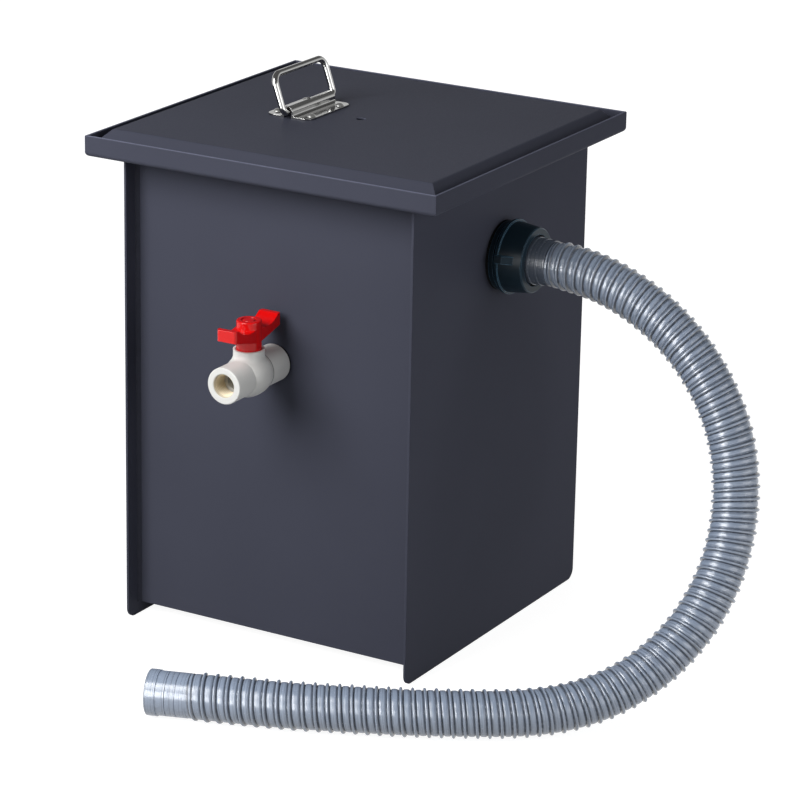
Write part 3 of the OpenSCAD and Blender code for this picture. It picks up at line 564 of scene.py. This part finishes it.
def bead_radius(place, angle, length):
    """Outer radius of the hose at a place along it and an angle round it."""
    phase = bead_turns(place, length) - angle / TURN
    gap = np.abs(phase - np.round(phase))
    off = gap * bead_pitch(place, length)
    share = np.clip(np.minimum(place, length - place) / BEAD_RAMP, 0, 1)
    grown = share * share * (3 - 2 * share)
    bead = BEAD_RISE * np.sqrt(np.clip(1 - (off / BEAD_HALF) ** 2, 0, 1))
    crease = CREASE_DEPTH * np.exp(-(((off - BEAD_HALF - CREASE_HALF) / CREASE_HALF) ** 2))
    return HOSE_RADIUS + grown * (bead - crease + BULGE * np.sin(math.pi * gap) ** 2)


def add_turns(mesh, places):
    """A map of the hose's skin: turns of the bead along u, and the place along the hose on v."""
    layer = mesh.uv_layers.new(name="turns")
    corner = np.empty(len(mesh.loops), int)
    mesh.loops.foreach_get("vertex_index", corner)
    column_of_face = (corner % HOSE_SIDES).reshape(-1, 4)
    wrapped = (column_of_face == 0) & (column_of_face.max(axis=1, keepdims=True) == HOSE_SIDES - 1)
    column = (column_of_face + HOSE_SIDES * wrapped).ravel()
    place = places[corner // HOSE_SIDES]
    turns = bead_turns(place, places.max()) - column / HOSE_SIDES
    layer.data.foreach_set("uv", np.column_stack((turns, place)).astype(np.float32).ravel())


def make_hose(material):
    """The ribbed drain hose: beaded outside, smooth bore."""
    line, place = hose_line()
    across, upward = cross_axes(line)
    length = place[-1]
    angle = np.arange(HOSE_SIDES) * TURN / HOSE_SIDES
    turned = angle[None, :, None]
    spokes = np.cos(turned) * across[:, None] + np.sin(turned) * upward[:, None]
    radius = bead_radius(place[:, None], angle[None], length)
    outside = line[:, None] + radius[..., None] * spokes
    kept = list(range(0, len(line) - 1, BORE_EVERY)) + [len(line) - 1]
    inside = (line[:, None] + HOSE_BORE * spokes)[kept]
    corners = np.concatenate((outside.reshape(-1, 3), inside.reshape(-1, 3)))
    rings = [i * HOSE_SIDES for i in range(len(line))]
    bores = [len(line) * HOSE_SIDES + i * HOSE_SIDES for i in range(len(kept))]
    pairs = list(zip(rings, rings[1:])) + [(rings[-1], bores[-1])]
    pairs += list(zip(bores[::-1], bores[-2::-1])) + [(bores[0], rings[0])]
    faces = [face for first, second in pairs for face in ring_faces(first, second, HOSE_SIDES)]
    hose = make_piece("ribbed_hose", corners, faces, material)
    add_turns(hose.data, np.concatenate((place, place[kept])))
    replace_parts(hose, "drain_hose")
    return hose


def make_thread(material):
    """The female thread in the valve's mouth: a thin sleeve with a helical ridge."""
    mount = entry(record["mounts"], "valve_outlet")
    middle = Vector(mount["pos_m"])
    bore = mount["dims"]["r_mm"] * MM - THREAD_ROOM
    start = middle.y - mount["dims"]["length_mm"] * MM / 2
    place = np.linspace(0, THREAD_LENGTH, round(THREAD_LENGTH / THREAD_STEP) + 1)
    angle = np.arange(THREAD_SIDES) * TURN / THREAD_SIDES
    phase = place[:, None] / THREAD_PITCH - angle[None] / TURN
    ridge = 1 - 2 * np.abs(phase - np.round(phase))
    lead = np.clip(place / THREAD_LEAD, 0, 1)[:, None]
    inner = bore - THREAD_WALL - THREAD_DEPTH * lead * np.clip(RIDGE_STEEP * ridge - RIDGE_CUT, 0, 1)
    inner[0] = inner[-1] = bore - THREAD_WALL

    def ring(radius, along):
        """One ring of corners."""
        across = middle.x + radius * np.cos(angle)
        height = middle.z + radius * np.sin(angle)
        return np.column_stack((across, np.full_like(angle, start + along), height))

    rows = [ring(r, p) for r, p in zip(inner, place)] + [ring(bore, place[-1]), ring(bore, 0.0)]
    firsts = [i * THREAD_SIDES for i in range(len(rows))]
    faces = [f for a, b in zip(firsts, firsts[1:] + firsts[:1]) for f in ring_faces(a, b, THREAD_SIDES)]
    return make_piece("valve_thread", np.vstack(rows), faces, material)


def weld_rows(root, side, end, leg, heights):
    """Corners of one weld bead, row by row: its hollow rippled skin, and its root in the corner."""
    ripple = WELD_LOW + WELD_RISE * np.abs(np.sin(math.pi * heights / WELD_RIPPLE))
    arc = np.linspace(0, math.pi / 2, WELD_ARC)
    corners = []
    for z, share in zip(heights, ripple):
        bulge = leg * (share * (1 - WELD_HOLLOW * np.sin(2 * arc)) + (1 - share))
        for a, b in zip(arc, bulge):
            corners.append((root[0] - side * b * math.cos(a), root[1] + end * b * math.sin(a), z))
        corners.append((*root, z))
    return corners


def make_welds(material):
    """Rippled weld beads in the four upright corners between panels and side plates."""
    low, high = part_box("weld_beads")
    panel_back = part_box("rear_panel")[1].y
    heights = np.linspace(low.z, high.z, round((high.z - low.z) / WELD_STEP) + 1)
    count = WELD_ARC + 1
    corners, faces = [], []
    for side in (-1, 1):
        for end in (-1, 1):
            root = (high.x if side > 0 else low.x, TANK.y + end * (panel_back - TANK.y))
            firsts = [len(corners) + i * count for i in range(len(heights))]
            corners += weld_rows(root, side, end, high.y - panel_back, heights)
            bead = [f for a, b in zip(firsts, firsts[1:]) for f in ring_faces(a, b, count)]
            bead.append(tuple(range(firsts[0], firsts[0] + count))[::-1])
            bead.append(tuple(range(firsts[-1], firsts[-1] + count)))
            turned = side * end > 0
            faces += [f[::-1] if turned else f for f in bead]
    welds = make_piece("weld_ripples", corners, faces, material)
    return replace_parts(welds, "weld_beads")


def body_height(across, along):
    """Height of the valve body's skin above its axis, at places across and along the axis."""
    drop = BARREL_RADIUS - BARREL_END_RADIUS
    arc = (BARREL_HALF**2 + drop**2) / (2 * drop)
    inside = np.clip(along, -BARREL_HALF, BARREL_HALF)
    barrel = BARREL_RADIUS - arc + np.sqrt(arc**2 - inside**2)
    radius = np.where(np.abs(along) <= BARREL_HALF, barrel, SOCKET_RADIUS)
    return np.sqrt(np.clip(radius**2 - across**2, 0, None))


def make_neck_fillet(material):
    """A soft fillet in the crease between the valve's neck and its barrel."""
    middle = np.array(valve_middle())
    angle = np.arange(FILLET_SIDES) * TURN / FILLET_SIDES
    radial = np.column_stack((np.cos(angle), np.sin(angle)))
    crease = body_height(*(NECK_RADIUS * radial).T)
    out = np.linspace(0, FILLET, FILLET_TRIES)
    places = (NECK_RADIUS + out)[None, :, None] * radial[:, None]
    heights = body_height(places[..., 0], places[..., 1])
    away = np.hypot(out[None], heights - crease[:, None])
    foot = np.argmin(np.abs(away - FILLET), axis=1)
    foot_out = out[foot]
    foot_height = heights[np.arange(FILLET_SIDES), foot]
    rows = []
    for t in np.linspace(0, 1, FILLET_STEPS):
        radius = NECK_RADIUS + t * t * foot_out - FILLET_SINK * (1 - t)
        height = (1 - t) ** 2 * (crease + FILLET) + 2 * t * (1 - t) * crease + t * t * foot_height
        rows.append(np.column_stack((radius[:, None] * radial, height - FILLET_SINK * t)))
    under = np.column_stack((NECK_RADIUS * radial, crease))
    corners = np.vstack(rows + [under]) + middle
    firsts = [i * FILLET_SIDES for i in range(len(rows) + 1)]
    faces = [f for a, b in zip(firsts, firsts[1:] + firsts[:1]) for f in ring_faces(b, a, FILLET_SIDES)]
    return make_piece("neck_fillet", corners, faces, material)


def dress_nodes(materials):
    """Gives every carried-over solid its finish."""
    slots = {part["node"]: part["material_slot"] for part in record["subparts"]} | OWN_FINISHES
    for name, node in frame["nodes"].items():
        node.data.materials.clear()
        node.data.materials.append(materials[slots[name]])


def make_camera():
    """The photograph's camera."""
    back = direction(CAMERA_AZIMUTH, CAMERA_ELEVATION)
    level = direction(CAMERA_AZIMUTH + 90, 0)
    upright = back.cross(level)
    roll = math.radians(CAMERA_ROLL)
    right = math.cos(roll) * level + math.sin(roll) * upright
    up = back.cross(right)
    data = bpy.data.cameras.new("camera")
    data.sensor_width = SENSOR_MM
    data.lens = SENSOR_MM * FOCAL_PIXELS / FRAME_PIXELS
    camera = bpy.data.objects.new("camera", data)
    axes = Matrix((right, up, back)).transposed().to_4x4()
    camera.matrix_world = Matrix.Translation(CAMERA_TARGET + CAMERA_DISTANCE * back) @ axes
    bpy.context.scene.collection.objects.link(camera)
    bpy.context.scene.camera = camera


def seen_directly(tree):
    """1 for rays from the camera, from glossy surfaces and through glass, and 0 for the rest."""
    path = add(tree, "LightPath").outputs
    seen = path["Is Camera Ray"]
    for ray in ("Is Glossy Ray", "Is Transmission Ray"):
        seen = add(tree, "Math", {0: seen, 1: path[ray]}, operation="MAXIMUM").outputs[0]
    return seen


def make_stage(name, corners, faces):
    """A pale matt piece of the studio, which looks white and still shows a soft shadow."""
    material = bpy.data.materials.new(name)
    material.use_nodes = True
    tree = material.node_tree
    tree.nodes.clear()
    pale = add(tree, "BsdfDiffuse", {"Color": grey(STAGE_GREY)}).outputs[0]
    shadow = add(tree, "BsdfDiffuse", {"Color": grey(SEEN_GREY)}).outputs[0]
    glow = add(tree, "Emission", {"Strength": FLOOR_GLOW})
    shown = add(tree, "AddShader", {0: shadow, 1: glow.outputs[0]}).outputs[0]
    mix = add(tree, "MixShader", {0: seen_directly(tree), 1: pale, 2: shown}).outputs[0]
    add(tree, "OutputMaterial", {"Surface": mix})
    mesh = bpy.data.meshes.new(name)
    mesh.from_pydata(corners, [], faces)
    mesh.materials.append(material)
    piece = bpy.data.objects.new(name, mesh)
    bpy.context.scene.collection.objects.link(piece)
    return tree, glow


def make_studio():
    """A pale floor, and all round it a white backdrop that fades towards its top."""
    square = [(x * FLOOR_HALF, y * FLOOR_HALF, 0.0) for x, y in ((-1, -1), (1, -1), (1, 1), (-1, 1))]
    make_stage("floor", square, [(0, 1, 2, 3)])
    turns = [TURN * k / BACKDROP_SIDES for k in range(BACKDROP_SIDES)]
    wall = [(BACKDROP_RADIUS * math.cos(a), BACKDROP_RADIUS * math.sin(a), z)
            for z in (0.0, BACKDROP_HEIGHT) for a in turns]
    tree, glow = make_stage("backdrop", wall, ring_faces(0, BACKDROP_SIDES, BACKDROP_SIDES))
    fade = between(tree, place_along(tree, "Z"), BACKDROP_GLOW, SKY, BACKDROP_FADE, BACKDROP_HEIGHT)
    tree.links.new(fade, glow.inputs["Strength"])


def make_lamp(name, azimuth, elevation, distance, size, watts):
    """A square soft lamp that faces the tank's middle."""
    back = direction(azimuth, elevation)
    data = bpy.data.lights.new(name, "AREA")
    data.size = size
    data.energy = watts
    lamp = bpy.data.objects.new(name, data)
    lamp.location = TANK + Vector((0, 0, LAMP_AIM)) + distance * back
    lamp.rotation_euler = back.to_track_quat("Z", "Y").to_euler()
    for ray in LAMP_HIDDEN.get(name, ()):
        setattr(lamp, ray, False)
    bpy.context.scene.collection.objects.link(lamp)


def make_light():
    """Soft lamps in front, on the right and behind, one in front that only shows in gloss, and a dim sky."""
    for name, setting in LAMPS.items():
        make_lamp(name, **setting)
    world = bpy.data.worlds.new("sky")
    bpy.context.scene.world = world
    world.use_nodes = True
    tree = world.node_tree
    tree.nodes.clear()
    sky = add(tree, "Background", {"Color": grey(1.0), "Strength": SKY}).outputs[0]
    add(tree, "OutputWorld", {"Surface": sky})
    bpy.context.scene.view_settings.view_transform = "Standard"


materials = make_materials()
make_camera()
make_hose(materials["hose_ribs"])
make_thread(materials["thread"])
make_neck_fillet(materials["fillet"])
make_welds(materials["weld"])
dress_nodes(materials)
make_studio()
make_light()
